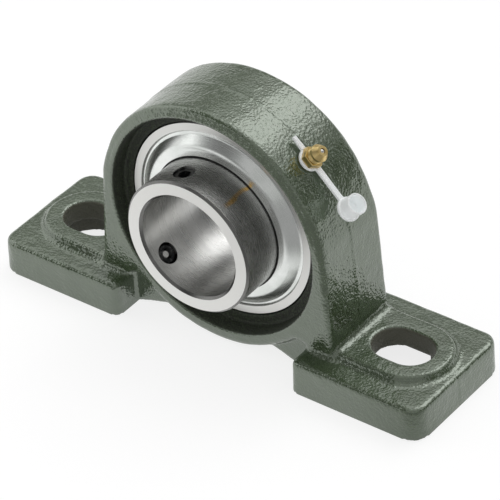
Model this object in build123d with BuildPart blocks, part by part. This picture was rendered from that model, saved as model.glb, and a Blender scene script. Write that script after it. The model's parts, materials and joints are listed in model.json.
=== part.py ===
"""Pillow block bearing unit for a 40 mm shaft.

A cast iron housing on two slotted feet carries a self-aligning insert bearing: a deep
groove ball bearing whose outer ring is ground to a sphere and sits in a spherical seat.
The inner ring is extended on one side and holds two set screws that grip the shaft.  A
grease nipple stands on the shoulder of the housing, with a moulded dust cap on a strap.

Frame: X runs along the base, Y along the shaft and Z up.  The origin is midway between
the two bolt slots, on the base plane.  The long side of the inner ring points to -Y.
Lengths are in millimetres and angles in degrees.
"""
import os
from math import acos, atan2, cos, radians, sin, sqrt, tan

from build123d import *

# ---------------------------------------------------------------- driving dimensions
# Housing: feet
shaft_height = 49.2           # base plane to shaft axis
base_length = 184.0
base_width = 52.0
foot_height = 13.0            # plain border of a foot
foot_draft = 1.5
outer_corner_radius = 6.5     # of a foot, seen from above
inner_corner_radius = 3.0
foot_edge_radius = 1.6
bolt_spacing = 137.0
slot_width = 17.0
slot_length = 23.0
slot_chamfer = 0.8
pad_height = 3.0              # bolt pad above the foot
pad_width = 32.4
pad_margin = 4.8              # from the rounded end of a pad to the end of the foot
pad_draft = 5.0
pad_edge_radius = 0.8
root_size = 1.3               # sloping root where pad and pedestal meet the foot
core_depth = 8.0              # hollow under each foot
core_wall = 6.0               # between the hollow and the inner end of a foot
core_past_slot = 2.0          # outer end of the hollow, past the middle of the slot
core_width = 36.0
core_end_radius = 13.0
core_corner_radius = 5.0
core_draft = 3.0

# Housing: head and pedestal
body_width = 34.0             # head and pedestal, front to back
rim_wall = 5.2                # of the head, around the mouth of the recess
body_edge_radius = 2.4
pedestal_width = 102.0        # at the top of the bolt pads
pedestal_fillet = 3.0         # between the side of a leg and its pad
leg_shoulder = 0.2            # inner side of a leg, back from the end of the foot
notch_top = 14.6              # recess between head and foot, above the base plane
notch_length = 4.65           # that recess, from the head to the leg
notch_depth = 2.6             # that recess, back from the face of the pedestal
notch_corner_radius = 2.8
web_rise = 11.4               # how far the lower edge of the web would rise at mid length

# Housing: bearing seat
seat_clearance = 0.06         # radial, between the seat and the outer ring
land_setback = 0.1            # seat band beyond each side of the outer ring
land_width = 3.8              # flat ring around the seat
mouth_flare = 0.8             # how much the recess widens from the land to its mouth
mouth_chamfer = 0.5
loading_clearance = 0.4       # around the outer ring in its loading slots

# Insert bearing: rings
bore_diameter = 40.0
inner_ring_width = 49.2
short_side = 19.0             # ball centre line to the short end of the inner ring
outer_ring_diameter = 80.0    # of the sphere
outer_ring_width = 21.0
inner_groove_depth = 2.2      # raceway, below the outside of the inner ring
outer_groove_depth = 2.0      # raceway, below the bore of the outer ring
ring_chamfer = 0.5
bore_chamfer = 0.9
inner_edge_chamfer = 0.8
grease_groove_width = 4.2
grease_groove_depth = 0.9
grease_groove_y = -4.8
grease_hole_diameter = 1.7
grease_hole_y = -5.9          # beside the raceway

# Insert bearing: balls and cage
ball_count = 9
ball_share = 0.3              # ball diameter, as a share of outer ring less bore
raceway_conformity = 0.52     # groove radius as a share of the ball diameter
ball_clearance = 0.03         # radial, between a ball and each raceway
first_ball_angle = 90.0
cage_sheet = 0.9
cage_share = 0.467            # radial width of the cage strip, as a share of the ball diameter
pocket_clearance = 0.2
rivet_diameter = 1.8
rivet_head_diameter = 3.2
rivet_head_height = 0.6
rivet_head_taper = 35.0
rivet_clearance = 0.01

# Insert bearing: seals
seal_step = 1.2               # seat of a shield, below the bore of the outer ring
seal_sheet = 0.7
seal_setback = 0.5            # flange of the shield, back from the side of the outer ring
seal_rim = 0.5                # width of the bevel around the flange
seal_fit_clearance = 0.05
shield_gap = 2.1              # between the inner ring and the hole of a shield
shield_rise = 3.3             # raised flat above the flange
shield_bend_radius = 0.6
shield_flat_share = 0.42      # of the way from hole to rim, the end of the raised flat
shield_step_share = 0.72      # of the way from hole to rim, the start of the flange
lip_clearance = 0.08          # between the rubber lip and the inner ring
lip_root_share = 0.31         # of the way from hole to rim, the root of the lip
lip_thickness = 1.0
lip_setback = 0.3             # visible face of the lip, back from the raised flat

# Set screws
screw_diameter = 8.0
screw_length = 4.8
screw_socket = 4.0            # across flats
screw_socket_depth = 2.4
screw_setback = 7.4           # from the long end of the inner ring
screw_recess = 0.4            # point of the screw, back from the bore
screw_point_chamfer = 0.9
screw_top_chamfer = 0.3
screw_cup_diameter = 4.0
screw_cup_depth = 0.8
thread_clearance = 0.03
first_screw_angle = 101.0
screw_spread = 120.0

# Grease nipple and dust cap
nipple_angle = 45.0           # up from the +X side of the head
nipple_offset = -3.45         # along the shaft, from the ball centre line
spot_face_diameter = 9.0
spot_face_depth = 0.3         # below the crown of the head
nipple_thread_diameter = 6.0
nipple_thread_length = 5.4
nipple_hex = 7.0              # across flats
nipple_hex_height = 2.5
hex_chamfer = 0.25
thread_chamfer = 0.4
nipple_neck_diameter = 4.4
neck_height = 1.0
head_band = 0.8               # straight part of the head
nipple_head_diameter = 6.5
nipple_height = 8.8           # seat of the nipple to its tip
nipple_tip_diameter = 3.8
nipple_passage_diameter = 1.6
nipple_bore_diameter = 2.8
check_ball_diameter = 2.4
check_ball_clearance = 0.03
check_opening_diameter = 1.9
valve_rim = 0.4               # straight part of the opening
valve_cone_start = 0.4        # above the middle of the check ball
spring_seat = 2.2             # above the spot face
spring_wire = 0.3
spring_turns = 4
cap_sheet = 1.2               # thickness of the ring
cap_gap = 0.1                 # under and over the ring
cap_clearance = 0.2           # between the ring and the thread of the nipple
strap_level = 0.5             # underside of the strap above the spot face
strap_sheet = 1.1
cap_ring_diameter = 8.4
strap_width = 2.1
strap_length = 21.3           # nipple axis to the middle of the cap
tail_width = 2.4              # at the ring
tail_tip_width = 1.5
tail_length = 9.4
cup_base_diameter = 8.8
cup_diameter = 7.6
cup_height = 6.2
cup_wall = 0.55

# ---------------------------------------------------------------- derived values
overcut = 1.0                 # how far a cut runs past the face that it opens
near = 0.01                   # two places this close are the same place
half_body = body_width / 2
half_pad = pad_width / 2
half_outer = outer_ring_width / 2
half_seat = half_outer + land_setback
half_pedestal = pedestal_width / 2
pad_top = foot_height + pad_height
sphere_radius = outer_ring_diameter / 2
ball_diameter = ball_share * (outer_ring_diameter - bore_diameter)
pitch_diameter = (bore_diameter + outer_ring_diameter) / 2
inner_ring_diameter = pitch_diameter - ball_diameter + 2 * inner_groove_depth
outer_ring_bore = pitch_diameter + ball_diameter - 2 * outer_groove_depth
seal_groove_diameter = outer_ring_bore + 2 * seal_step
seat_radius = sphere_radius + seat_clearance
seat_edge = sqrt(seat_radius ** 2 - half_seat ** 2)
land_radius = seat_edge + land_width
mouth_radius = land_radius + mouth_flare
head_radius = mouth_radius + rim_wall
foot_level = foot_height - shaft_height       # heights from the shaft axis
pad_level = pad_top - shaft_height
notch_level = notch_top - shaft_height
leg_level = foot_level - body_edge_radius - overcut
notch_x = sqrt(head_radius ** 2 - notch_level ** 2)
leg_inner = notch_x + notch_length
inner_end = leg_inner - leg_shoulder - foot_height * tan(radians(foot_draft))
outer_end = base_length / 2
foot_middle = (inner_end + outer_end) / 2
foot_length = outer_end - inner_end
pad_end = outer_end - pad_margin
root_start = leg_inner + foot_edge_radius + root_size      # inner end of a pad
slot_x = bolt_spacing / 2
core_end = slot_x + core_past_slot
core_length = core_end - inner_end - core_wall
core_middle = inner_end + core_wall + core_length / 2
# The side of the pedestal is tangent to the head.
knee_distance = sqrt(half_pedestal ** 2 + pad_level ** 2)
side_angle = atan2(pad_level, half_pedestal) + acos(head_radius / knee_distance)
tangent_x = head_radius * cos(side_angle)
tangent_z = head_radius * sin(side_angle)
leg_outer = half_pedestal + (pad_level - leg_level) * tan(side_angle)
knee_reach = pedestal_fillet / tan((radians(90) + side_angle) / 2)
knee_x = half_pedestal - knee_reach * sin(side_angle)
knee_z = pad_level + knee_reach * cos(side_angle)
long_end = short_side - inner_ring_width
ball_radius = ball_diameter / 2
pitch_radius = pitch_diameter / 2
groove_radius = raceway_conformity * ball_diameter
ball_angles = [first_ball_angle + 360 / ball_count * i for i in range(ball_count)]
spot_face_height = head_radius - spot_face_depth
screw_y = long_end + screw_setback
screw_angles = (first_screw_angle, first_screw_angle + screw_spread)
ring_edge = sqrt(sphere_radius ** 2 - half_outer ** 2)
seal_groove_depth = seal_setback + seal_sheet
seal_radius = seal_groove_diameter / 2 - seal_fit_clearance
shield_level = half_outer - seal_setback          # outer face of the flange
lip_radius = inner_ring_diameter / 2 + lip_clearance
shield_hole_radius = inner_ring_diameter / 2 + shield_gap
shield_cone_radius = shield_hole_radius + shield_flat_share * (seal_radius - shield_hole_radius)
shield_step_radius = shield_hole_radius + shield_step_share * (seal_radius - shield_hole_radius)
lip_root_radius = shield_hole_radius + lip_root_share * (seal_radius - shield_hole_radius)
shield_top = shield_level + shield_rise
shield_slope = atan2(shield_rise, shield_step_radius - shield_cone_radius)
bend_shift = seal_sheet * tan(shield_slope / 2)   # inner corner of a bend, from the outer one
lip_level = shield_top - lip_setback
cage_height = cage_share * ball_diameter
cage_inner = pitch_radius - cage_height / 2
cage_outer = pitch_radius + cage_height / 2
hex_level = 2 * cap_gap + cap_sheet
hex_top = hex_level + nipple_hex_height
check_ball_level = nipple_height - check_ball_diameter / 2

shaft_axis = Axis((0, 0, shaft_height), (0, 1, 0))
front_view = Plane((0, 0, shaft_height), x_dir=(1, 0, 0), z_dir=(0, -1, 0))
radial_section = Plane.XY.offset(shaft_height)    # its x is a radius, its y is along the shaft


def radial_plane(angle, along_shaft=0.0):
    """Plane on the shaft axis whose Z points outwards at this angle, and whose Y is the shaft's."""
    outwards = (cos(radians(angle)), 0, sin(radians(angle)))
    across = (sin(radians(angle)), 0, -cos(radians(angle)))
    return Plane((0, along_shaft, shaft_height), x_dir=across, z_dir=outwards)


nipple_plane = radial_plane(nipple_angle, nipple_offset).offset(spot_face_height)
os.makedirs("parts", exist_ok=True)

# ---------------------------------------------------------------- housing
with BuildPart() as foot:
    # Foot on the +X side: a drafted plate with rounded corners and a softened top edge.
    with BuildSketch():
        with Locations((foot_middle, 0)):
            Rectangle(foot_length, base_width)
        fillet(vertices().sort_by(Axis.X)[:2], inner_corner_radius)
        fillet(vertices().sort_by(Axis.X)[-2:], outer_corner_radius)
    extrude(amount=foot_height, taper=foot_draft)
    fillet(faces().sort_by(Axis.Z)[-1].edges(), foot_edge_radius)
    # Bolt pad, round at its outer end.
    with BuildSketch(Plane.XY.offset(foot_height)) as pad_outline:
        with Locations((pad_end - half_pad, 0)):
            Circle(half_pad)
        with Locations((half_pedestal, 0)):
            Rectangle(pad_end - half_pad - half_pedestal, pad_width, align=(Align.MIN, Align.CENTER))
            Rectangle(half_pedestal - root_start, pad_width, align=(Align.MAX, Align.CENTER))
    extrude(amount=pad_height, taper=pad_draft)
    fillet(faces().sort_by(Axis.Z)[-1].edges(), pad_edge_radius)
    # Sloping root around the pad and the leg that stands on it.
    with BuildSketch(Plane.XY.offset(foot_height), mode=Mode.PRIVATE) as root_outline:
        add(pad_outline.sketch)
        with Locations((half_pedestal, 0)):
            Rectangle(half_pedestal - root_start, body_width, align=(Align.MAX, Align.CENTER))
    extrude(
        offset(root_outline.sketch, amount=root_size, mode=Mode.PRIVATE),
        amount=root_size,
        dir=(0, 0, 1),
        taper=45,
    )

with BuildPart() as housing:
    # Head and legs, seen from the front: each leg is tangent to the head and runs into a foot.
    with BuildSketch(front_view):
        with BuildLine():
            crown = ThreePointArc((tangent_x, tangent_z), (0, head_radius), (-tangent_x, tangent_z))
            belly = ThreePointArc((-notch_x, notch_level), (0, -head_radius), (notch_x, notch_level))
            Polyline(
                crown @ 1,
                (-leg_outer, leg_level),
                (-leg_inner, leg_level),
                (-leg_inner, notch_level),
                belly @ 0,
            )
            Polyline(
                belly @ 1,
                (leg_inner, notch_level),
                (leg_inner, leg_level),
                (leg_outer, leg_level),
                crown @ 0,
            )
        make_face()
        notch_corners = vertices().filter_by(lambda v: abs(v.Y - notch_level) < near)
        fillet(notch_corners, notch_corner_radius)
    extrude(amount=half_body, both=True)
    rims = edges().filter_by(lambda e: abs(abs((e @ 0.5).Y) - half_body) < near)
    rims = rims.filter_by(lambda e: (e @ 0.5).Z > shaft_height + leg_level + near)
    fillet(rims, body_edge_radius)
    # Rounded root between each leg and its bolt pad.
    with BuildSketch(front_view):
        with BuildLine():
            TangentArc((half_pedestal + knee_reach, pad_level), (knee_x, knee_z), tangent=(-1, 0))
            Polyline(
                (knee_x, knee_z),
                (leg_inner + pedestal_fillet, knee_z),
                (leg_inner + pedestal_fillet, foot_level),
                (half_pedestal + knee_reach, foot_level),
                (half_pedestal + knee_reach, pad_level),
            )
        make_face()
        mirror(about=Plane.YZ)
    extrude(amount=half_body - body_edge_radius, both=True)
    # Web between the head and each foot, set back from the faces of the body.
    with BuildSketch(front_view):
        with BuildLine():
            Polyline(
                (-leg_inner - overcut, -shaft_height),
                (0, web_rise - shaft_height),
                (leg_inner + overcut, -shaft_height),
                (leg_inner + overcut, notch_level + overcut),
                (-leg_inner - overcut, notch_level + overcut),
                close=True,
            )
        make_face()
    extrude(amount=half_body - notch_depth, both=True)
    add(foot.part)
    add(foot.part.mirror(Plane.YZ))

    # Hollow under each foot, and the bolt slot with its softened rim.
    with BuildSketch():
        with Locations((core_middle, 0), (-core_middle, 0)):
            RectangleRounded(core_length, core_width, core_corner_radius)
        with Locations((core_end, 0), (-core_end, 0)):
            Circle(core_end_radius)
    extrude(amount=core_depth, taper=core_draft, mode=Mode.SUBTRACT)
    with BuildSketch():
        with Locations((slot_x, 0), (-slot_x, 0)):
            SlotOverall(slot_length, slot_width)
    extrude(amount=pad_top + overcut, mode=Mode.SUBTRACT)
    with BuildSketch(Plane.XY.offset(pad_top)):
        with Locations((slot_x, 0), (-slot_x, 0)):
            SlotOverall(slot_length + 2 * slot_chamfer, slot_width + 2 * slot_chamfer)
    extrude(amount=-slot_chamfer, taper=45, mode=Mode.SUBTRACT)

    # Recess and spherical seat, turned about the shaft axis, the same from both sides.
    with BuildSketch(radial_section):
        with BuildLine():
            seat = ThreePointArc((seat_edge, -half_seat), (seat_radius, 0), (seat_edge, half_seat))
            Polyline(
                seat @ 1,
                (land_radius, half_seat),
                (mouth_radius, half_body - mouth_chamfer),
                (mouth_radius + mouth_chamfer + overcut, half_body + overcut),
                (0, half_body + overcut),
                (0, -half_body - overcut),
                (mouth_radius + mouth_chamfer + overcut, -half_body - overcut),
                (mouth_radius, mouth_chamfer - half_body),
                (land_radius, -half_seat),
                seat @ 0,
            )
        make_face()
    revolve(axis=shaft_axis, mode=Mode.SUBTRACT)

    # Loading slots at the back: the insert goes in edgeways here, then turns to face the shaft.
    with BuildSketch(front_view):
        Circle(sphere_radius + loading_clearance)
        Rectangle(base_length, outer_ring_width + 2 * loading_clearance, mode=Mode.INTERSECT)
    extrude(amount=-half_body - overcut, mode=Mode.SUBTRACT)

    # Spot face, tapped hole and passage for the grease nipple.
    with BuildSketch(nipple_plane):
        Circle(spot_face_diameter / 2)
    extrude(amount=2 * overcut, mode=Mode.SUBTRACT)
    with BuildSketch(nipple_plane):
        Circle(nipple_thread_diameter / 2 + thread_clearance)
    extrude(amount=-nipple_thread_length, mode=Mode.SUBTRACT)
    with BuildSketch(nipple_plane):
        Circle(nipple_passage_diameter / 2)
    extrude(amount=-(spot_face_height - seat_edge), mode=Mode.SUBTRACT)
housing.part.label = "housing"
export_step(housing.part, "parts/housing.step")

# ---------------------------------------------------------------- outer ring
with BuildPart() as outer_ring:
    # Ball-shaped outside, raceway inside, and a seat for a shield at each end.
    with BuildSketch(radial_section):
        with BuildLine():
            ball_face = ThreePointArc((ring_edge, -half_outer), (sphere_radius, 0), (ring_edge, half_outer))
            Polyline(
                ball_face @ 1,
                (seal_groove_diameter / 2, half_outer),
                (seal_groove_diameter / 2, half_outer - seal_groove_depth),
                (outer_ring_bore / 2, half_outer - seal_groove_depth),
                (outer_ring_bore / 2, seal_groove_depth - half_outer),
                (seal_groove_diameter / 2, seal_groove_depth - half_outer),
                (seal_groove_diameter / 2, -half_outer),
                ball_face @ 0,
            )
        make_face()
        chamfer(vertices().filter_by(lambda v: abs(v.X - ring_edge) < near), ring_chamfer)
        with Locations((pitch_radius + ball_radius + ball_clearance - groove_radius, 0)):
            Circle(groove_radius, mode=Mode.SUBTRACT)
        with Locations((sphere_radius, grease_groove_y)):
            Rectangle(2 * grease_groove_depth, grease_groove_width, mode=Mode.SUBTRACT)
    revolve(axis=shaft_axis)
    # Grease holes from the groove to the inside, one at the top and one at the bottom.
    for angle in (nipple_angle + 90, nipple_angle - 90):
        with BuildSketch(radial_plane(angle, grease_hole_y).offset(outer_ring_bore / 2 - overcut)):
            Circle(grease_hole_diameter / 2)
        extrude(amount=sphere_radius, mode=Mode.SUBTRACT)
outer_ring.part.label = "outer_ring"
export_step(outer_ring.part, "parts/outer_ring.step")

# ---------------------------------------------------------------- inner ring
with BuildPart() as inner_ring:
    with BuildSketch(radial_section):
        with Locations(((bore_diameter + inner_ring_diameter) / 4, (short_side + long_end) / 2)):
            Rectangle((inner_ring_diameter - bore_diameter) / 2, inner_ring_width)
        inside = vertices().filter_by(lambda v: v.X < (bore_diameter + inner_ring_diameter) / 4)
        chamfer(inside, bore_chamfer)
        outside = vertices().filter_by(lambda v: v.X > inner_ring_diameter / 2 - near)
        chamfer(outside, inner_edge_chamfer)
        with Locations((pitch_radius - ball_radius - ball_clearance + groove_radius, 0)):
            Circle(groove_radius, mode=Mode.SUBTRACT)
    revolve(axis=shaft_axis)
    # Tapped holes for the set screws, through the long side.
    for angle in screw_angles:
        with BuildSketch(radial_plane(angle, screw_y).offset(bore_diameter / 2 - overcut)):
            Circle(screw_diameter / 2)
        extrude(amount=inner_ring_diameter / 2, mode=Mode.SUBTRACT)
inner_ring.part.label = "inner_ring"
export_step(inner_ring.part, "parts/inner_ring.step")

# ---------------------------------------------------------------- balls
for number, angle in enumerate(ball_angles, start=1):
    with BuildPart() as ball:
        with BuildSketch(radial_plane(angle).offset(pitch_radius)):
            with BuildLine():
                CenterArc((0, 0), ball_radius, -90, 180)
                Line((0, ball_radius), (0, -ball_radius))
            make_face()
        revolve(axis=Axis(radial_plane(angle, 0).offset(pitch_radius).origin, (0, 1, 0)))
    ball.part.label = f"ball_{number}"
    export_step(ball.part, f"parts/ball_{number}.step")

# ---------------------------------------------------------------- cage
# Two pressed strips, waved around the balls, riveted together between them.
pocket_radius = ball_radius + pocket_clearance
with BuildPart() as cage_front:
    with BuildSketch(front_view):
        Circle(cage_outer)
        Circle(cage_inner, mode=Mode.SUBTRACT)
    extrude(amount=cage_sheet)
    for angle in ball_angles:
        with BuildSketch(radial_plane(angle).offset(cage_inner - 2 * overcut)):
            Circle(pocket_radius + cage_sheet)
        extrude(amount=cage_height + 3 * overcut)
    for angle in ball_angles:
        with BuildSketch(radial_plane(angle).offset(cage_inner - 3 * overcut)):
            Circle(pocket_radius)
        extrude(amount=cage_height + 5 * overcut, mode=Mode.SUBTRACT)
    with BuildSketch(front_view):
        Circle(cage_outer)
        Circle(cage_inner, mode=Mode.SUBTRACT)
    extrude(amount=ball_diameter, mode=Mode.INTERSECT)
    # Rivet holes.
    with BuildSketch(front_view):
        with PolarLocations(pitch_radius, ball_count, start_angle=first_ball_angle + 180 / ball_count):
            Circle(rivet_diameter / 2)
    extrude(amount=ball_diameter, mode=Mode.SUBTRACT)
cage_front.part.label = "cage_front"
export_step(cage_front.part, "parts/cage_front.step")

with BuildPart() as cage_rear:
    add(cage_front.part)
    mirror(about=Plane.XZ, mode=Mode.REPLACE)
cage_rear.part.label = "cage_rear"
export_step(cage_rear.part, "parts/cage_rear.step")

with BuildPart() as cage_rivets:
    with BuildSketch(front_view):
        with PolarLocations(pitch_radius, ball_count, start_angle=first_ball_angle + 180 / ball_count):
            Circle(rivet_diameter / 2 - rivet_clearance)
    extrude(amount=cage_sheet, both=True)
    for side in (-1, 1):
        with BuildSketch(front_view.offset(side * cage_sheet)):
            with PolarLocations(pitch_radius, ball_count, start_angle=first_ball_angle + 180 / ball_count):
                Circle(rivet_head_diameter / 2)
        extrude(amount=side * rivet_head_height, taper=rivet_head_taper)
cage_rivets.part.label = "cage_rivets"
export_step(cage_rivets.part, "parts/cage_rivets.step")

# ---------------------------------------------------------------- shields and lips
# A pressed shield steps out from its flange over a cone to a raised flat.
with BuildPart() as seal_shield_front:
    with BuildSketch(radial_section):
        with BuildLine():
            Polyline(
                (seal_radius, seal_sheet - shield_level),
                (seal_radius, seal_rim - shield_level),
                (seal_radius - seal_rim, -shield_level),
                (shield_step_radius, -shield_level),
                (shield_cone_radius, -shield_top),
                (shield_hole_radius, -shield_top),
                (shield_hole_radius, seal_sheet - shield_top),
                (shield_cone_radius - bend_shift, seal_sheet - shield_top),
                (shield_step_radius - bend_shift, seal_sheet - shield_level),
                close=True,
            )
        make_face()
        bends = vertices().filter_by(
            lambda v: shield_cone_radius - bend_shift - near < v.X < shield_step_radius + near
        )
        fillet(bends, shield_bend_radius)
    revolve(axis=shaft_axis)
seal_shield_front.part.label = "seal_shield_front"
export_step(seal_shield_front.part, "parts/seal_shield_front.step")

with BuildPart() as seal_shield_back:
    add(seal_shield_front.part)
    mirror(about=Plane.XZ, mode=Mode.REPLACE)
seal_shield_back.part.label = "seal_shield_back"
export_step(seal_shield_back.part, "parts/seal_shield_back.step")

# Rubber lip, held behind the raised flat and running on the inner ring.
with BuildPart() as seal_lip_front:
    with BuildSketch(radial_section):
        with BuildLine():
            Polyline(
                (lip_radius, -lip_level),
                (shield_hole_radius, -lip_level),
                (shield_hole_radius, seal_sheet - shield_top),
                (lip_root_radius, seal_sheet - shield_top),
                (lip_root_radius, seal_sheet - shield_top + lip_thickness),
                (shield_hole_radius, seal_sheet - shield_top + lip_thickness),
                (lip_radius, lip_thickness - lip_level),
                close=True,
            )
        make_face()
    revolve(axis=shaft_axis)
seal_lip_front.part.label = "seal_lip_front"
export_step(seal_lip_front.part, "parts/seal_lip_front.step")

with BuildPart() as seal_lip_back:
    add(seal_lip_front.part)
    mirror(about=Plane.XZ, mode=Mode.REPLACE)
seal_lip_back.part.label = "seal_lip_back"
export_step(seal_lip_back.part, "parts/seal_lip_back.step")

# ---------------------------------------------------------------- set screws
for number, angle in enumerate(screw_angles, start=1):
    point = radial_plane(angle, screw_y).offset(bore_diameter / 2 + screw_recess)
    with BuildPart() as set_screw:
        with BuildSketch(point):
            Circle(screw_diameter / 2 - thread_clearance)
        extrude(amount=screw_length)
        chamfer(faces().sort_by(Axis(point.origin, point.z_dir))[0].edges(), screw_point_chamfer)
        chamfer(faces().sort_by(Axis(point.origin, point.z_dir))[-1].edges(), screw_top_chamfer)
        with BuildSketch(point.offset(screw_length)):
            RegularPolygon(screw_socket / 2, 6, major_radius=False)
        extrude(amount=-screw_socket_depth, mode=Mode.SUBTRACT)
        with BuildSketch(point):
            Circle(screw_cup_diameter / 2)
        extrude(amount=screw_cup_depth, taper=45, mode=Mode.SUBTRACT)
    set_screw.part.label = f"set_screw_{number}"
    export_step(set_screw.part, f"parts/set_screw_{number}.step")

# ---------------------------------------------------------------- grease nipple
# Along the nipple the section's x is a radius and its y is the height above the spot face.
nipple_section = Plane(nipple_plane.origin, x_dir=(0, 1, 0), z_dir=nipple_plane.x_dir)
nipple_axis = Axis(nipple_plane.origin, nipple_plane.z_dir)
with BuildPart() as grease_nipple_body:
    with BuildSketch(nipple_plane.offset(hex_level)):
        RegularPolygon(nipple_hex / 2, 6, major_radius=False)
    extrude(amount=nipple_hex_height)
    chamfer(faces().sort_by(nipple_axis)[-1].edges(), hex_chamfer)
    with BuildSketch(nipple_section):
        with BuildLine():
            Polyline(
                (0, thread_chamfer - nipple_thread_length),
                (nipple_thread_diameter / 2 - thread_chamfer, thread_chamfer - nipple_thread_length),
                (nipple_thread_diameter / 2, 2 * thread_chamfer - nipple_thread_length),
                (nipple_thread_diameter / 2, hex_top),
                (nipple_neck_diameter / 2, hex_top + neck_height),
                (nipple_head_diameter / 2, hex_top + 2 * neck_height),
                (nipple_head_diameter / 2, hex_top + 2 * neck_height + head_band),
                (nipple_tip_diameter / 2, nipple_height),
                (0, nipple_height),
                close=True,
            )
        make_face()
    revolve(axis=nipple_axis)
    with BuildSketch(nipple_section):
        with BuildLine():
            Polyline(
                (0, -nipple_thread_length),
                (nipple_passage_diameter / 2, -nipple_thread_length),
                (nipple_passage_diameter / 2, spring_seat),
                (nipple_bore_diameter / 2, spring_seat),
                (nipple_bore_diameter / 2, check_ball_level + valve_cone_start),
                (check_opening_diameter / 2, nipple_height - valve_rim),
                (check_opening_diameter / 2, nipple_height + overcut),
                (0, nipple_height + overcut),
                close=True,
            )
        make_face()
    revolve(axis=nipple_axis, mode=Mode.SUBTRACT)
grease_nipple_body.part.label = "grease_nipple_body"
export_step(grease_nipple_body.part, "parts/grease_nipple_body.step")

with BuildPart() as nipple_check_ball:
    with BuildSketch(nipple_section):
        with BuildLine():
            CenterArc((0, check_ball_level), check_ball_diameter / 2, -90, 180)
            Line((0, nipple_height), (0, nipple_height - check_ball_diameter))
        make_face()
    revolve(axis=nipple_axis)
nipple_check_ball.part.label = "nipple_check_ball"
export_step(nipple_check_ball.part, "parts/nipple_check_ball.step")

with BuildPart() as nipple_check_spring:
    coil_radius = check_opening_diameter / 2
    reach = check_ball_diameter / 2 + spring_wire / 2 + check_ball_clearance
    spring_top = check_ball_level - sqrt(reach ** 2 - coil_radius ** 2)
    spring_bottom = spring_seat + spring_wire / 2 + check_ball_clearance
    with BuildLine():
        coil = Helix(
            pitch=(spring_top - spring_bottom) / spring_turns,
            height=spring_top - spring_bottom,
            radius=coil_radius,
            center=nipple_plane.offset(spring_bottom).origin,
            direction=nipple_plane.z_dir,
        )
    with BuildSketch(Plane(coil @ 0, z_dir=coil % 0)):
        Circle(spring_wire / 2)
    sweep()
nipple_check_spring.part.label = "nipple_check_spring"
export_step(nipple_check_spring.part, "parts/nipple_check_spring.step")

# ---------------------------------------------------------------- dust cap
# One moulding: a ring held under the hexagon, a strap, the cap at its end, and a pull tail.
with BuildPart() as dust_cap:
    with BuildSketch(nipple_plane.offset(cap_gap)):
        Circle(cap_ring_diameter / 2)
    extrude(amount=cap_sheet)
    with BuildSketch(nipple_plane.offset(strap_level)):
        with Locations((strap_length / 2, 0)):
            Rectangle(strap_length, strap_width)
        with Locations((strap_length, 0)):
            Circle(cup_base_diameter / 2)
        with BuildLine():
            Polyline(
                (0, tail_width / 2),
                (-tail_length, tail_tip_width / 2),
                (-tail_length, -tail_tip_width / 2),
                (0, -tail_width / 2),
                close=True,
            )
        make_face()
    extrude(amount=strap_sheet)
    with BuildSketch(nipple_plane.offset(strap_level)):
        with Locations((strap_length, 0)):
            Circle(cup_diameter / 2)
    extrude(amount=cup_height)
    with BuildSketch(nipple_plane.offset(strap_level + cup_height)):
        with Locations((strap_length, 0)):
            Circle(cup_diameter / 2 - cup_wall)
    extrude(amount=strap_sheet - cup_height, mode=Mode.SUBTRACT)
    with BuildSketch(nipple_plane):
        Circle(nipple_thread_diameter / 2 + cap_clearance)
    extrude(amount=2 * cap_sheet, mode=Mode.SUBTRACT)
    # The hexagon stands in the ring's upper face.
    with BuildSketch(nipple_plane.offset(cap_gap + cap_sheet)):
        Circle(cap_ring_diameter / 2)
    extrude(amount=cap_sheet, mode=Mode.SUBTRACT)
dust_cap.part.label = "dust_cap"
export_step(dust_cap.part, "parts/dust_cap.step")
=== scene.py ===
"""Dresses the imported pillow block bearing: enamelled casting, ground insert, brass nipple."""
import json
import math

import bmesh
import bpy
import numpy as np
from mathutils import Matrix, Vector, noise


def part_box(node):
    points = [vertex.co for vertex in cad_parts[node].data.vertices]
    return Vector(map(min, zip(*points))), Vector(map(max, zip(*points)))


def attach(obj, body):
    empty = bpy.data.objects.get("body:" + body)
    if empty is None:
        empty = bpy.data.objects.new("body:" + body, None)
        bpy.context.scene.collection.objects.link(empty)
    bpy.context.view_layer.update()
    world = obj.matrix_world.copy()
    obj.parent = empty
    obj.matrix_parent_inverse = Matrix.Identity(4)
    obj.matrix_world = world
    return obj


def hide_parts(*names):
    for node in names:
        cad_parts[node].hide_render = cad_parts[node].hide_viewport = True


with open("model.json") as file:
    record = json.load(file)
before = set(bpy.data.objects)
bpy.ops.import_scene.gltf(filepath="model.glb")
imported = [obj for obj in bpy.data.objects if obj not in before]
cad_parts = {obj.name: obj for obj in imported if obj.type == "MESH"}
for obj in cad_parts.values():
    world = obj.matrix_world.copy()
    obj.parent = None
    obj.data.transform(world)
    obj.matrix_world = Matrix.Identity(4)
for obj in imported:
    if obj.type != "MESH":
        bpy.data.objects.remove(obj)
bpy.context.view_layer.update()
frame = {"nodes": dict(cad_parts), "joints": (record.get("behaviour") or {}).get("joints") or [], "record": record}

bl_info = {
    "name": "Pillow Block Bearing",
    "version": (1, 0, 0),
    "blender": (4, 5, 0),
    "location": "3D View > Sidebar > Bearing",
    "description": "Finishes for a cast pillow block with its self-aligning insert bearing",
    "category": "Object",
}

MM = 0.001
MIDDLE = Vector((0.0, 0.0, 0.04))      # what the lamps point at
FLOOR_GAP = 0.0002                     # the floor lies this far below the feet

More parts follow.
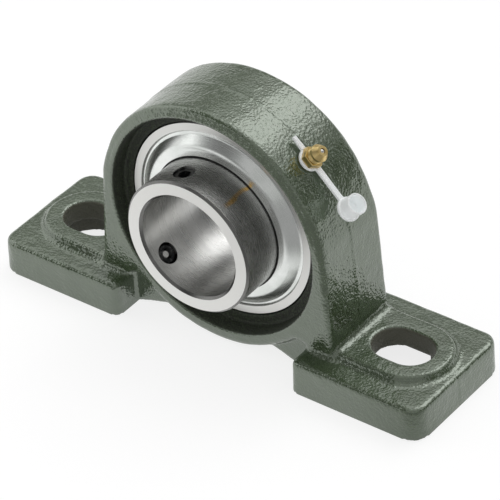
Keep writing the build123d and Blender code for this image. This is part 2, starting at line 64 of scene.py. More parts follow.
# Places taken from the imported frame.
MOUNTS = {mount["name"]: mount for mount in frame["record"]["mounts"]}
SHAFT_HEIGHT = MOUNTS["shaft_bore"]["pos_m"][2]
BORE_RADIUS = MOUNTS["shaft_bore"]["dims"]["r_mm"] * MM
JOINTS = {joint["name"]: joint for joint in frame["joints"]}
OUTER_LOW, OUTER_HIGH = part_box("outer_ring")
SPHERE_RADIUS = (OUTER_HIGH.x - OUTER_LOW.x) / 2
RING_HALF_WIDTH = (OUTER_HIGH.y - OUTER_LOW.y) / 2
INNER_LOW, INNER_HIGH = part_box("inner_ring")
INNER_RADIUS = (INNER_HIGH.x - INNER_LOW.x) / 2
BOLTS = MOUNTS["foot_bolts"]["dims"]
SLOT_X = BOLTS["spacing_x_mm"] / 2 * MM
SLOT_RADIUS = BOLTS["hole_r_mm"] * MM
SLOT_HALF_STRAIGHT = BOLTS["slot_length_mm"] / 2 * MM - SLOT_RADIUS

# The cored hollow under each foot: half its width, its top, its ends along X, and the
# distance over which its mask fades.
HOLLOW_HALF_WIDTH = 0.0175
HOLLOW_TOP = 0.0120
HOLLOW_START, HOLLOW_END = 0.0445, 0.0865
FADE = 0.0005

# The painted amber reflection: where it starts, is full, starts to fade and ends, round the
# shaft (in radians up from +X) and along it.
REFLECTION_ROUND = (0.905, 0.945, 0.965, 1.005)
REFLECTION_ALONG = (-0.0275, -0.0240, -0.0140, -0.0125)

# The wear of a set screw: how far above the bore its point ends, the radius of the cup in
# the point, and the worn rim round the socket.
POINT_FADE = (0.0030, 0.0025)
CUP_FADE = (0.0013, 0.0011)
RIM_BAND = (0.0022, 0.0024, 0.0031, 0.0034)

# Where the skin of the casting comes loose: above the underside, outside the recess, and
# past the wall of a bolt slot.
LOOSE_Z = (0.0005, 0.0030)
LOOSE_RADIUS = (0.0440, 0.0458)
LOOSE_SLOT = (0.0002, 0.0015)
# Where the roots of the pads and legs are softened: outwards along X, and past a slot.
ROOT_X = (0.036, 0.040)
ROOT_SLOT = (0.0010, 0.0025)
ROOT_FADE = 0.001
RELAX_WEIGHT = 0.6
# The heights between which the crown of the head begins.
CROWN_Z = (0.055, 0.065)
# The mould joint: half the width of its step and of its ridge, and the height above which
# it shows on faces that look up as well.
JOINT_STEP, JOINT_RIDGE = 0.0004, 0.0006
JOINT_ABOVE = 0.03
# How far the seat goes past the outer ring: to the side, and outwards.
SEAT_SIDE, SEAT_REACH = 0.0009, 0.0002


# ---------------------------------------------------------------- shader expressions
class Field:
    """A value that varies over a surface. Arithmetic on it adds Math nodes."""

    def __init__(self, finish, socket):
        self.finish = finish
        self.socket = socket

    def _math(self, operation, *values):
        sockets = dict(enumerate(values))
        return self.finish.node("ShaderNodeMath", {"operation": operation}, sockets)

    def __add__(self, other):
        return self._math("ADD", self, other)

    def __radd__(self, other):
        return self._math("ADD", other, self)

    def __sub__(self, other):
        return self._math("SUBTRACT", self, other)

    def __rsub__(self, other):
        return self._math("SUBTRACT", other, self)

    def __mul__(self, other):
        return self._math("MULTIPLY", self, other)

    def __rmul__(self, other):
        return self._math("MULTIPLY", other, self)

    def root(self):
        return self._math("SQRT", self)

    def sine(self):
        return self._math("SINE", self)

    def size(self):
        return self._math("ABSOLUTE", self)

    def less_of(self, other):
        return self._math("MINIMUM", self, other)

    def more_of(self, other):
        return self._math("MAXIMUM", self, other)

    def angle_from(self, other):
        return self._math("ARCTAN2", self, other)

    def step(self, low, high, start=0.0, end=1.0):
        """Rises smoothly from start to end as the value goes from low to high."""
        return self.finish.node(
            "ShaderNodeMapRange",
            {"interpolation_type": "SMOOTHSTEP"},
            {"Value": self, "From Min": low, "From Max": high, "To Min": start, "To Max": end},
        )

    def between(self, start, full, last, end):
        """Rises from 0 at start to 1 at full, and falls from 1 at last to 0 at end."""
        return self.step(start, full) * self.step(end, last)


class Finish:
    """The nodes of a material or of the world, in the making."""

    def __init__(self, owner):
        owner.use_nodes = True
        owner.node_tree.nodes.clear()
        self.owner = owner
        self.tree = owner.node_tree

    def node(self, kind, settings=None, sockets=None, output=0):
        """Adds a node: settings first, then the values or links of its sockets."""
        node = self.tree.nodes.new(kind)
        for key, value in (settings or {}).items():
            setattr(node, key, value)
        for key, value in (sockets or {}).items():
            self.plug(node.inputs[key], value)
        return Field(self, node.outputs[output]) if node.outputs else None

    def plug(self, socket, value):
        if isinstance(value, Field):
            self.tree.links.new(value.socket, socket)
        elif socket.type == "RGBA":
            socket.default_value = (*value[:3], 1.0)
        else:
            socket.default_value = value

    def place(self):
        """Coordinates fixed to the piece, in metres."""
        return self.node("ShaderNodeTexCoord", output="Object")

    def parts(self, vector):
        """The X, Y and Z of a vector."""
        split = self.node("ShaderNodeSeparateXYZ", sockets={"Vector": vector})
        return [Field(self, split.socket.node.outputs[axis]) for axis in "XYZ"]

    def grain(self, vector, size, detail=2.0, roughness=0.5):
        """Noise between 0 and 1, whose features are about size metres wide."""
        return self.node(
            "ShaderNodeTexNoise",
            {"noise_dimensions": "3D"},
            {"Vector": vector, "Scale": 1 / size, "Detail": detail, "Roughness": roughness},
        )

    def lines(self, travel, detail=2.0):
        """Noise between 0 and 1 along one line only, such as a radius."""
        return self.node(
            "ShaderNodeTexNoise",
            {"noise_dimensions": "1D"},
            {"W": travel, "Detail": detail, "Roughness": 0.5},
        )

    def blend(self, factor, first, second):
        """Goes from the first colour at 0 to the second at 1."""
        return self.node(
            "ShaderNodeMix",
            {"data_type": "RGBA"},
            {"Factor": factor, 6: first, 7: second},
            output=2,
        )

    def bump(self, height, distance, below=None):
        """A normal from a height of 0 to 1, distance metres deep, on top of the one below."""
        sockets = {"Height": height, "Distance": distance, "Strength": 1.0}
        if below is not None:
            sockets["Normal"] = below
        return self.node("ShaderNodeBump", {}, sockets)

    def shader(self, **sockets):
        """A Principled shader. Socket names are written with underscores."""
        named = {key.replace("_", " "): value for key, value in sockets.items()}
        return self.node("ShaderNodeBsdfPrincipled", {}, named)

    def shown(self, shader):
        """Makes the shader the finish of the surface."""
        self.node("ShaderNodeOutputMaterial", {}, {"Surface": shader})
        return self.owner

    def surface(self, **sockets):
        """A finish of one Principled shader."""
        return self.shown(self.shader(**sockets))


def new_finish(name):
    return Finish(bpy.data.materials.new(name))


def coat(piece, material):
    """Gives the whole piece one material."""
    piece.data.materials.clear()
    piece.data.materials.append(material)


# ---------------------------------------------------------------- finishes
def round_the_shaft(finish, place):
    """The distance from the shaft's axis, the place along it, and the angle up from +X."""
    x, y, z = finish.parts(place)
    height = z - SHAFT_HEIGHT
    return (x * x + height * height).root(), y, height.angle_from(x)


def enamel(settings):
    """Glossy grey-green enamel over a cast skin, with the fine orange peel of thick paint."""
    finish = new_finish("enamel")
    place = finish.place()
    x, y, z = finish.parts(place)
    radius, _, _ = round_the_shaft(finish, place)
    pebble = finish.grain(place, settings.pebble_size)
    peel = finish.grain(place, settings.peel_size, detail=1.0, roughness=0.4)
    fine = finish.grain(place, settings.peel_size / 2, roughness=0.6)
    broad = finish.grain(place, settings.pebble_size * 5, detail=3.0)
    recess = radius.step(settings.recess_radius + 0.0004, settings.recess_radius - 0.0001)
    inside = 1 - (1 - slot_mask(x, y)) * (1 - hollow_mask(x, y, z))
    thin = recess + inside
    relief = finish.bump(pebble * (1 - recess), settings.pebble_height)
    relief = finish.bump(peel, settings.peel_height, relief)
    # A granular skin in the recess, and turning lines on the land.
    relief = finish.bump(fine * thin, settings.coat_height, relief)
    land = recess * radius.step(settings.land_radius + 0.0001, settings.land_radius - 0.0002)
    waver = finish.grain(place, 0.004) * 4.0
    lines = (radius * (2 * math.pi / settings.land_pitch) + waver).sine()
    relief = finish.bump(lines * land, settings.land_height, relief)
    # Painted shade: the hollows of the casting grain are coloured darker.
    tone = finish.blend(pebble.step(0.3, 0.72), settings.painted_hollow_shade, settings.colour)
    tone = finish.blend(broad.step(0.35, 0.7, 0.0, 0.3), tone, settings.dusty_colour)
    gloss = finish.shader(
        Base_Color=tone,
        Roughness=0.07 + peel * 0.06,
        Normal=relief,
        IOR=2.3,
        Specular_Tint=settings.gloss_tint,
    )
    # The recess of the head, the bolt slots and the cored hollows have a thin, dull coat; in the recess its colour
    # is painted shade, speckled with the enamel's colour.
    speck = finish.blend(fine.step(0.48, 0.66), settings.painted_recess_shade, settings.colour)
    dull = finish.shader(
        Base_Color=finish.blend(inside, speck, settings.slot_colour),
        Roughness=0.42 + fine * 0.2,
        Normal=relief,
        IOR=1.4,
    )
    return finish.shown(finish.node("ShaderNodeMixShader", {}, {0: thin, 1: gloss, 2: dull}))


def hollow_mask(x, y, z):
    """One in the cored hollow under either foot, zero elsewhere."""
    across = y.size().step(HOLLOW_HALF_WIDTH + FADE, HOLLOW_HALF_WIDTH)
    below = z.step(HOLLOW_TOP + FADE, HOLLOW_TOP)
    return across * below * x.size().between(
        HOLLOW_START - FADE, HOLLOW_START, HOLLOW_END, HOLLOW_END + FADE
    )


def slot_mask(x, y):
    """One on the wall of either bolt slot, zero elsewhere."""
    past = (x.size() - SLOT_X).size() - SLOT_HALF_STRAIGHT
    past = (past + past.size()) * 0.5
    reach = (past * past + y * y).root()
    return reach.step(SLOT_RADIUS + 0.0007, SLOT_RADIUS + 0.0002)


def ring_steel(settings):
    """Ground bearing steel: matt turned faces, brighter ground outside and bore."""
    finish = new_finish("ring_steel")
    place = finish.place()
    radius, along, turn = round_the_shaft(finish, place)
    normal = finish.node("ShaderNodeTexCoord", output="Normal")
    facing = finish.parts(normal)[1].size()
    face = facing.step(0.80, 0.96)
    wobble = finish.grain(place, 0.006)
    # Fine grooves that run round the axis: along the shaft on cylinders, across it on faces.
    travel = along + radius
    grooves = finish.lines(travel * (1 / settings.groove_size), detail=0.0)
    bands = finish.lines(travel * (1 / settings.band_size) + wobble * 0.5)
    smear = finish.grain(place, 0.012, detail=4.0, roughness=0.55)
    ground = finish.blend(smear.step(0.3, 0.75), settings.steel_colour, settings.steel_light)
    tone = finish.blend(face, ground, settings.face_colour)
    # Chamfers are left from turning, darker than what is ground.
    corner = facing.between(0.45, 0.60, 0.76, 0.86)
    tone = finish.blend(corner * 0.8, tone, settings.corner_colour)
    bore = radius.step(BORE_RADIUS + 0.0008, BORE_RADIUS + 0.0002)
    outside = radius.between(
        INNER_RADIUS - 0.0004, INNER_RADIUS - 0.0002, INNER_RADIUS + 0.0001, INNER_RADIUS + 0.0002
    )
    # A painted amber reflection along the outside of the inner ring.
    sway = (wobble - 0.5) * 0.10
    amber_reflection = outside * (turn + sway).between(*REFLECTION_ROUND) * along.between(*REFLECTION_ALONG)
    tone = finish.blend(amber_reflection * smear.step(0.3, 0.6, 0.6, 1.0), tone, settings.amber_reflection_colour)
    return finish.surface(
        Base_Color=tone,
        Metallic=1.0,
        Roughness=0.17 + bands * 0.06 + smear * 0.04 + face * 0.22 + bore * 0.06 + outside * 0.05,
        Normal=finish.bump(grooves * (1 - face) * (1 - bore * 0.6), settings.groove_height),
    )


def shield_zinc(settings):
    """Bright pressed sheet with faint rings from the press tool."""
    finish = new_finish("shield_zinc")
    place = finish.place()
    radius, _, _ = round_the_shaft(finish, place)
    rings = finish.lines(radius * (1 / settings.press_pitch))
    cloud = finish.grain(place, 0.009, detail=4.0)
    tone = finish.blend(cloud.step(0.35, 0.7), settings.zinc_colour, settings.zinc_dark)
    return finish.surface(
        Base_Color=tone, Metallic=1.0, Roughness=0.21 + cloud * 0.06 + rings * 0.04
    )


def polished_steel(settings):
    """Balls, lapped bright."""
    finish = new_finish("polished_steel")
    cloud = finish.grain(finish.place(), 0.004, detail=3.0)
    return finish.surface(
        Base_Color=settings.steel_light, Metallic=1.0, Roughness=0.06 + cloud * 0.05
    )


def cage_steel(settings):
    """Pressed strip, a little duller than the rings."""
    finish = new_finish("cage_steel")
    place = finish.place()
    cloud = finish.grain(place, 0.005, detail=4.0)
    fine = finish.grain(place, 0.0006)
    return finish.surface(
        Base_Color=finish.blend(cloud.step(0.3, 0.7), settings.steel_colour, settings.zinc_dark),
        Metallic=1.0,
        Roughness=0.32 + cloud * 0.12,
        Normal=finish.bump(fine, 0.00001),
    )


def lip_rubber(settings):
    """Matt black rubber, a little greyer in patches."""
    finish = new_finish("lip_rubber")
    place = finish.place()
    fine = finish.grain(place, 0.0007, detail=3.0)
    cloud = finish.grain(place, 0.006, detail=3.0)
    return finish.surface(
        Base_Color=finish.blend(cloud, settings.rubber_colour, settings.rubber_grey),
        Roughness=0.55 + fine * 0.15,
        Normal=finish.bump(fine, 0.00002),
    )


def screw_black(settings):
    """Black oxide, worn pale on the rim of the socket and in the cup of the point."""
    finish = new_finish("screw_black")
    place = finish.place()
    radius, _, _ = round_the_shaft(finish, place)
    x, y, z = finish.parts(place)
    cloud = finish.grain(place, 0.0016, detail=4.0, roughness=0.6)
    tone = finish.blend(cloud.step(0.45, 0.75), settings.oxide_colour, settings.oxide_worn)

    def aside_from(number):
        """The distance from a screw's own axis."""
        axis = JOINTS[f"screw_{number}_travel"]["axis"]
        low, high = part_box(f"set_screw_{number}")
        across = x * axis[2] - (z - SHAFT_HEIGHT) * axis[0]
        level = y - (low.y + high.y) / 2
        return (across * across + level * level).root()

    aside = aside_from(1).less_of(aside_from(2))
    point = radius.step(*(BORE_RADIUS + edge for edge in POINT_FADE))
    cup = point * aside.step(*CUP_FADE)
    rim = (1 - point) * aside.between(*RIM_BAND)
    tone = finish.blend(rim * 0.6, tone, settings.oxide_worn)
    tone = finish.blend(cup, tone, settings.steel_light)
    return finish.surface(
        Base_Color=tone,
        Metallic=0.85,
        Roughness=0.30 + cloud * 0.2 - cup * 0.12,
        Normal=finish.bump(cloud, 0.00001),
    )


def nipple_brass(settings):
    """Turned brass with duller patches."""
    finish = new_finish("nipple_brass")
    place = finish.place()
    fine = finish.grain(place, 0.0005, detail=3.0)
    cloud = finish.grain(place, 0.003, detail=3.0)
    tone = finish.blend(cloud.step(0.35, 0.7), settings.brass_colour, settings.brass_dark)
    return finish.surface(
        Base_Color=tone,
        Metallic=1.0,
        Roughness=0.24 + cloud * 0.12,
        Normal=finish.bump(fine, 0.000006),
    )


def spring_wire(settings):
    """Drawn wire."""
    finish = new_finish("spring_wire")
    cloud = finish.grain(finish.place(), 0.0015, detail=3.0)
    return finish.surface(
        Base_Color=settings.steel_colour, Metallic=1.0, Roughness=0.25 + cloud * 0.15
    )


def cap_plastic(settings):
    """Soft translucent polyethylene, a little milky, with a satin moulded skin."""
    finish = new_finish("cap_plastic")
    place = finish.place()
    cloud = finish.grain(place, 0.003, detail=3.0)
    fine = finish.grain(place, 0.0006)
    tone = finish.blend(cloud, settings.cap_colour, settings.cap_shade)
    return finish.surface(
        Base_Color=tone,
        Roughness=0.34 + cloud * 0.12,
        Normal=finish.bump(fine, 0.000015),
        Subsurface_Weight=0.2,
        Subsurface_Radius=(settings.cap_depth,) * 3,
        Subsurface_Scale=1.0,
        IOR=1.5,
        # A painted glow, standing in for daylight that passes through the thin wall.
        Emission_Color=tone,
        Emission_Strength=settings.cap_painted_glow,
    )


# ---------------------------------------------------------------- mesh helpers
def new_piece(name, data):
    """Puts a mesh, lamp or camera into the scene under the name."""
    piece = bpy.data.objects.new(name, data)
    bpy.context.scene.collection.objects.link(piece)
    return piece


def remeshed(node, name, size, passes):
    """A copy of a CAD node with an even skin of small faces, its edges softened."""
    source = frame["nodes"][node]
    work = new_piece(name, source.data.copy())
    work.data.materials.clear()
    skin = work.modifiers.new("skin", "REMESH")
    skin.mode = "VOXEL"
    skin.voxel_size = size
    soft = work.modifiers.new("soft", "SMOOTH")
    soft.factor = 0.5
    soft.iterations = passes
    graph = bpy.context.evaluated_depsgraph_get()
    mesh = bpy.data.meshes.new_from_object(work.evaluated_get(graph))
    bpy.data.objects.remove(work)
    piece = new_piece(name, mesh)
    mesh.shade_smooth()
    return piece


def turned(name, profile, segments):
    """A closed ring round the shaft axis. The profile is a loop of (radius, along) points."""
    mesh = bpy.data.meshes.new(name)
    turns = np.linspace(0, 2 * math.pi, segments, endpoint=False)
    radius, along = np.array(profile).T
    x = np.outer(np.cos(turns), radius)
    z = np.outer(np.sin(turns), radius) + SHAFT_HEIGHT
    y = np.tile(along, (segments, 1))
    count = len(profile)
    step, point = np.meshgrid(np.arange(segments), np.arange(count), indexing="ij")
    after, beside = (step + 1) % segments, (point + 1) % count
    here, there = step * count, after * count
    faces = np.stack((here + point, there + point, there + beside, here + beside), axis=-1)
    places = np.stack((x, y, z), axis=-1)
    mesh.from_pydata(places.reshape(-1, 3).tolist(), [], faces.reshape(-1, 4).tolist())
    form = bmesh.new()
    form.from_mesh(mesh)
    bmesh.ops.recalc_face_normals(form, faces=form.faces)
    form.to_mesh(mesh)
    form.free()
    return new_piece(name, mesh)


def rounded(corners, rounding, steps=6):
    """Runs through the corners of an open line, each inner corner replaced by a smooth bend."""
    line = [corners[0]]
    for before, corner, after in zip(corners, corners[1:], corners[2:]):
        corner = np.array(corner)
        back, ahead = np.array(before) - corner, np.array(after) - corner
        reach = min(rounding, 0.48 * np.hypot(*back), 0.48 * np.hypot(*ahead))
        start = corner + back / np.hypot(*back) * reach
        end = corner + ahead / np.hypot(*ahead) * reach
        for t in np.linspace(0, 1, steps):
            line.append(tuple((1 - t) ** 2 * start + 2 * t * (1 - t) * corner + t * t * end))
    line.append(corners[-1])
    return line


def read_vectors(mesh, what):
    """The places ("co") or the normals ("normal") of the points of a mesh, one row each."""
    values = np.zeros(len(mesh.vertices) * 3)
    mesh.vertices.foreach_get(what, values)
    return values.reshape(-1, 3)


def smoothstep(value, low, high):
    """Rises smoothly from 0 to 1 as the value goes from low to high."""
    t = np.clip((value - low) / (high - low), 0, 1)
    return t * t * (3 - 2 * t)


def relaxed(mesh, places, weight, passes):
    """Draws each point towards the middle of its neighbours, by its own weight."""
    ends = np.zeros(len(mesh.edges) * 2, dtype=np.int32)
    mesh.edges.foreach_get("vertices", ends)
    first, second = ends.reshape(-1, 2).T
    count = np.bincount(ends, minlength=len(places))
    for _ in range(passes):
        total = np.zeros_like(places)
        for axis in range(3):
            total[:, axis] = np.bincount(first, places[second, axis], len(places))
            total[:, axis] += np.bincount(second, places[first, axis], len(places))
        places = places + (total / count[:, None] - places) * weight[:, None]
    return places


def shaft_reach(places):
    """The distance of each point from the shaft's axis."""
    return np.hypot(places[:, 0], places[:, 2] - SHAFT_HEIGHT)


# ---------------------------------------------------------------- pieces
def casting_relief(settings, sharp, places, normals):
    """How far the skin stands out: slow unevenness, and the joint of the mould at the middle.

    The joint and the crown are found from the sharp places, before the edges were rounded.
    """
    _, y, z = sharp.T
    uneven = np.array([
        noise.noise(Vector(place) / settings.wave_size)
        + 0.5 * noise.noise(Vector(place) / settings.lump_size)
        for place in places
    ])
    joint = smoothstep(y, -JOINT_STEP, JOINT_STEP) - 0.5 + np.exp(-(y / JOINT_RIDGE) ** 2)
    joint *= settings.joint_height * smoothstep(np.abs(normals[:, 1]), 0.5, 0.3)
    joint *= np.where(z > JOINT_ABOVE, 1.0, smoothstep(normals[:, 2], 0.2, 0.0))
    relief = uneven * settings.wave_height + joint
    # On the crown the skin only sinks, so the swivelling strap stays clear of it.
    crown = smoothstep(z, *CROWN_Z)
    relief -= crown * (1.5 * settings.wave_height + 1.5 * settings.joint_height)
    return np.where(crown > 0, np.minimum(relief, (1 - crown) * settings.wave_height), relief)


def trued_seat(settings, places):
    """The places, with those in the seat on a true sphere just clear of the outer ring."""
    centre = np.array((0.0, 0.0, SHAFT_HEIGHT))
    radius, along = shaft_reach(places), np.abs(places[:, 1])
    reach = np.hypot(radius, along)
    seat = (along < RING_HALF_WIDTH + SEAT_SIDE) & (radius < SPHERE_RADIUS + SEAT_REACH)
    wanted = SPHERE_RADIUS + settings.seat_clearance
    scale = np.where(seat & (reach < wanted + SEAT_REACH), wanted / reach, 1.0)
    return centre + (places - centre) * scale[:, None]


def make_housing(settings):
    """The casting: soft edges and a slightly uneven skin, with the machined places kept true."""
    piece = remeshed("housing", "housing_casting", settings.skin_size, settings.skin_passes)
    mesh = piece.data
    sharp, normals = read_vectors(mesh, "co"), read_vectors(mesh, "normal")
    x, y, z = sharp.T
    past_straight = np.maximum(np.abs(np.abs(x) - SLOT_X) - SLOT_HALF_STRAIGHT, 0)
    past_slot = np.hypot(past_straight, y) - SLOT_RADIUS
    # Nothing moves on the underside, in the seat and recess, or in the slots.
    loose = smoothstep(z, *LOOSE_Z) * smoothstep(shaft_reach(sharp), *LOOSE_RADIUS)
    loose *= smoothstep(past_slot, *LOOSE_SLOT)
    root = smoothstep(z, settings.root_low, settings.root_low + ROOT_FADE)
    root *= smoothstep(z, settings.root_high, settings.root_high - ROOT_FADE)
    root *= smoothstep(past_slot, *ROOT_SLOT) * smoothstep(np.abs(x), *ROOT_X)
    # Cast edges are round, and the foot of each bolt pad and of each leg runs out softly.
    places = relaxed(mesh, sharp, loose * RELAX_WEIGHT, settings.edge_passes)
    places = relaxed(mesh, places, root * RELAX_WEIGHT, settings.root_passes)
    relief = casting_relief(settings, sharp, places, normals)
    places = trued_seat(settings, places + normals * (relief * loose)[:, None])
    # The feet stand on one plane, and nothing leaves the casting's own box.
    low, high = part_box("housing")
    places = np.clip(places, np.array(low), np.array(high))
    mesh.vertices.foreach_set("co", places.ravel())
    mesh.update()
    coat(piece, enamel(settings))
    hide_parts("housing")
    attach(piece, "housing")


def make_shield(settings, node, material):
    """A pressed shield: bevelled flange, smooth cone and raised flat, open at the middle."""
    low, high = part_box(node)
    outer = (high.x - low.x) / 2
    side = -1 if low.y + high.y < 0 else 1
    top, bottom = max(-low.y, high.y), min(abs(low.y), abs(high.y))
    flange = top - settings.shield_rise
    sheet = settings.shield_sheet
    front = rounded([
        (outer, bottom),
        (outer, flange - settings.shield_bevel),
        (outer - settings.shield_bevel, flange),
        (settings.shield_step, flange),
        (settings.shield_flat, top),
        (settings.shield_hole, top),
    ], settings.shield_bend)
    back = rounded([
        (settings.shield_hole, top - sheet),
        (settings.shield_flat - sheet * 0.5, top - sheet),
        (settings.shield_step - sheet * 0.5, bottom),
        (outer, bottom),
    ], settings.shield_bend)
    profile = [(radius, side * along) for radius, along in front + back[:-1]]
    piece = turned(node + "_pressing", profile, settings.shield_segments)
    piece.data.shade_smooth()
    piece.data.set_sharp_from_angle(angle=settings.shield_crease)
    coat(piece, material)
    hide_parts(node)
    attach(piece, "insert")


def make_dust_cap(settings):
    """The moulding: a cup on a strap, whose ring swivels round the nipple."""
    piece = remeshed("dust_cap", "dust_cap_moulding", settings.cap_skin, settings.cap_passes)
    coat(piece, cap_plastic(settings))
    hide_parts("dust_cap")
    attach(piece, "dust_cap")


def finish_nodes(material, *nodes):
    """Gives CAD nodes, whose shape is right as it is, a better material."""
    for node in nodes:
        coat(frame["nodes"][node], material)


# ---------------------------------------------------------------- stage
def make_camera(settings):
    """A camera that stands at settings.place, turned by its azimuth, elevation and roll."""
    camera = bpy.data.cameras.new("camera")
    camera.sensor_width = 36.0
    camera.lens = settings.lens
    camera.clip_start, camera.clip_end = 0.05, 20.0
    holder = new_piece("camera", camera)
    holder.matrix_world = (
        Matrix.Translation(settings.place)
        @ Matrix.Rotation(settings.azimuth, 4, "Z")
        @ Matrix.Rotation(math.pi / 2 - settings.elevation, 4, "X")
        @ Matrix.Rotation(settings.roll, 4, "Z")
    )
    bpy.context.scene.camera = holder


def make_lamp(name, place, size, power):
    """A soft rectangular lamp that points at the middle of the object."""
    lamp = bpy.data.lights.new(name, "AREA")
    lamp.shape = "RECTANGLE"
    lamp.size, lamp.size_y = size
    lamp.energy = power
    holder = new_piece(name, lamp)
    holder.location = place
    holder.rotation_mode = "QUATERNION"
    holder.rotation_quaternion = (MIDDLE - Vector(place)).to_track_quat("-Z", "Y")


def make_floor(settings):
    """A pale floor, white to the camera and in reflections, that keeps the object's shadow."""
    mesh = bpy.data.meshes.new("floor")
    form = bmesh.new()
    bmesh.ops.create_grid(form, x_segments=1, y_segments=1, size=settings.floor_size / 2)
    form.to_mesh(mesh)
    form.free()
    floor = new_piece("floor", mesh)
    floor.location = (0, 0, -FLOOR_GAP)
    finish = new_finish("pale_floor")
    camera = finish.node("ShaderNodeLightPath", output="Is Camera Ray")
    outputs = camera.socket.node.outputs
    glossy = Field(finish, outputs["Is Glossy Ray"])
    seen = (camera + glossy + Field(finish, outputs["Is Transmission Ray"])).step(0.0, 1.0)
    place = finish.place()
    x, y, _ = finish.parts(place)
    # In reflections the table darkens a little way in front of the object.
    towards = x * settings.open_x + y * settings.open_y
    lit = towards.step(settings.edge_near, settings.edge_far, 1.0, settings.open_level)
    dark = glossy * (1 - lit)
    cloud = finish.grain(place, 0.35)
    pale = finish.blend(cloud, settings.floor_colour, settings.floor_patches)
    pale = finish.blend(seen, pale, (settings.floor_shade,) * 3)
    finish.surface(
        Base_Color=finish.blend(dark, pale, settings.floor_dark),
        Emission_Color=finish.blend(seen - dark, (0, 0, 0), (settings.floor_glow,) * 3),
        Emission_Strength=1.0,
        Roughness=1.0,
        Specular_IOR_Level=0.0,
    )
    coat(floor, finish.owner)


def make_world(settings):
    """Pale walls, a bright sweep round the horizon, a ceiling, a soft box and two openings.

    They are found from the parts of a direction: x to the right, y to the back, z up.
    """
    world = bpy.data.worlds.new("studio")
    bpy.context.scene.world = world
    finish = Finish(world)
    camera = finish.node("ShaderNodeLightPath", output="Is Camera Ray")
    x, y, z = finish.parts(finish.node("ShaderNodeTexCoord", output="Generated"))
    back = y.step(0.05, 0.35)
    behind = z.step(0.57, 0.66, settings.back_level, settings.back_top_level)
    wall = back * behind + (1 - back) * settings.front_level
    low = z.step(settings.sweep_end, settings.sweep_top)
    wall = wall + (settings.sweep_level - wall) * low
    # Two darker openings: one low behind to the right, one in front to the right.
    doorway = x.step(0.52, 0.70) * y.step(0.2, 0.4) * z.step(0.54, 0.36)
    towards = x * settings.open_x + y * settings.open_y
    wall *= 1 - doorway * settings.doorway_depth
    wall *= towards.step(0.35, 0.85, 1.0, settings.open_level)
    ceiling = z.step(settings.ceiling_edge, settings.ceiling_start)
    box = x.between(-0.26, -0.08, 0.16, 0.42) * y.step(0.25, 0.5) * z.step(0.48, 0.60)
    level = wall + ceiling * settings.ceiling_level + box * settings.box_level
    # The camera itself sees white.
    level = level.more_of(camera)
    glow = finish.node("ShaderNodeBackground", {}, {"Color": (1, 1, 1), "Strength": level})
    finish.node("ShaderNodeOutputWorld", {}, {"Surface": glow})


# ---------------------------------------------------------------- settings
def length(name, description, default):
    return bpy.props.FloatProperty(
        name=name, description=description, default=default, unit="LENGTH", precision=5
    )


def colour(name, description, default):
    return bpy.props.FloatVectorProperty(
        name=name, description=description, default=default, subtype="COLOR", size=3, min=0, max=1
    )


def angle(name, description, degrees):
    return bpy.props.FloatProperty(
        name=name, description=description, default=math.radians(degrees), unit="ROTATION"
    )


def watts(name, description, default):
    return bpy.props.FloatProperty(
        name=name, description=description, default=default, unit="POWER"
    )


def share(name, description, default):
    return bpy.props.FloatProperty(
        name=name, description=description, default=default, subtype="FACTOR", min=0, max=1
    )


def plain(name, description, default):
    return bpy.props.FloatProperty(name=name, description=description, default=default)


def count(name, description, default):
    return bpy.props.IntProperty(name=name, description=description, default=default)


class BearingHousingSettings(bpy.types.PropertyGroup):
    colour: colour("Enamel", "Colour of the enamel on raised grain", (0.056, 0.081, 0.040))
    # Painted shade in the hollows of the grain.
    painted_hollow_shade: colour("Hollows", "Enamel in the hollows of the grain", (0.042, 0.064, 0.029))
    dusty_colour: colour("Dust", "Faint bloom on the enamel", (0.070, 0.093, 0.052))
    gloss_tint: colour("Gloss tint", "Tint of what the enamel reflects", (0.92, 1.0, 0.90))
    # Painted shade in the recess of the head.
    painted_recess_shade: colour("Recess", "Thin coat in the recess of the head", (0.016, 0.019, 0.012))
    slot_colour: colour("Slots", "Thin coat on the walls of the bolt slots", (0.13, 0.132, 0.10))
    recess_radius: length("Mouth radius", "Where the recess of the head begins", 0.0432)
    land_radius: length("Land radius", "Outer edge of the turned land", 0.0424)
    pebble_size: length("Grain size", "Width of the casting grain under the enamel", 0.0034)
    pebble_height: length("Grain height", "Depth of the casting grain", 0.00024)
    peel_size: length("Peel size", "Width of the orange peel in the enamel", 0.0009)
    peel_height: length("Peel height", "Depth of the orange peel", 0.00020)
    coat_height: length("Coat grain", "Depth of the grain of the thin coat", 0.00016)
    land_pitch: length("Land lines", "Spacing of the turning lines on the land", 0.0006)
    land_height: length("Land line depth", "Depth of the turning lines on the land", 0.00003)
    skin_size: length("Skin size", "Size of the faces of the casting's skin", 0.0005)
    skin_passes: count("Softening", "Passes that soften the skin", 2)
    wave_size: length("Wave size", "Width of the casting's slow unevenness", 0.014)
    lump_size: length("Lump size", "Width of its smaller unevenness", 0.0045)
    wave_height: length("Wave height", "Height of the casting's unevenness", 0.00018)
    joint_height: length("Mould joint", "Height of the joint left by the mould", 0.00014)
    root_low: length("Root low", "Where the soft root of the pads begins", 0.0124)
    root_high: length("Root high", "Where the soft root of the pads ends", 0.0170)
    edge_passes: count("Edge passes", "Passes that round the edges", 6)
    root_passes: count("Root passes", "Passes that soften the roots", 6)
    seat_clearance: length("Seat clearance", "Radial gap round the outer ring", 0.00008)


